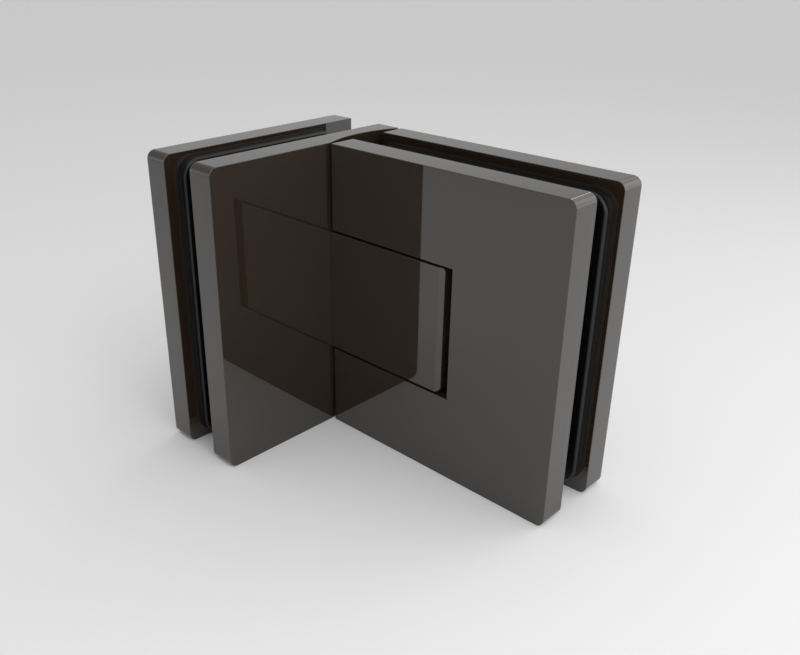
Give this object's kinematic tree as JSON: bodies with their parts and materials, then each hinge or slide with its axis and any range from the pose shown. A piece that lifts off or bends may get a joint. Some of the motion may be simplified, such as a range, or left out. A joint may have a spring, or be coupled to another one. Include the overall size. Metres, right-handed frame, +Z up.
{
  "type": "glass door hinge",
  "caption": "Clamp hinge that hangs a glass door on a glass panel at a right angle, with gaskets and a sprung pivot.",
  "frame": {"origin": "on the pivot axis, level with the bottom edges of the plates", "axes": "+X along the door leaf towards its free end, +Z up the pivot axis, -Y along the fixed leaf towards its free end"},
  "size_m": [0.1097, 0.0705, 0.09],
  "materials": {
    "nickel": "polished black nickel",
    "nickel_screw": "black nickel",
    "dark_brass": "blackened",
    "steel": "ground",
    "bush_plastic": "matte",
    "gasket_rubber": "matte"
  },
  "bodies": {
    "fixed_leaf": {"fixed_inner_plate": "nickel", "fixed_outer_plate": "nickel", "fixed_inner_gasket": "gasket_rubber", "fixed_outer_gasket": "gasket_rubber", "fixed_spacer": "dark_brass", "fixed_clamp_screws": "nickel_screw", "knuckle_block": "nickel", "knuckle_screws": "steel", "upper_bush": "bush_plastic", "lower_bush": "bush_plastic", "plunger": "steel", "spring_plug": "steel", "rubber_spring": "gasket_rubber"},
    "door_leaf": {"door_inner_plate": "nickel", "door_outer_plate": "nickel", "door_inner_gasket": "gasket_rubber", "door_outer_gasket": "gasket_rubber", "door_core": "dark_brass", "door_clamp_screws": "nickel_screw", "pivot_pin": "steel", "pin_dowels": "steel"}
  },
  "joints": [
    {"name": "door_swing", "type": "hinge", "parent": "fixed_leaf", "child": "door_leaf", "pos_m": [0, 0, 0.045], "axis": [0, 0, 1], "range_deg": [-90, 90]}
  ]
}
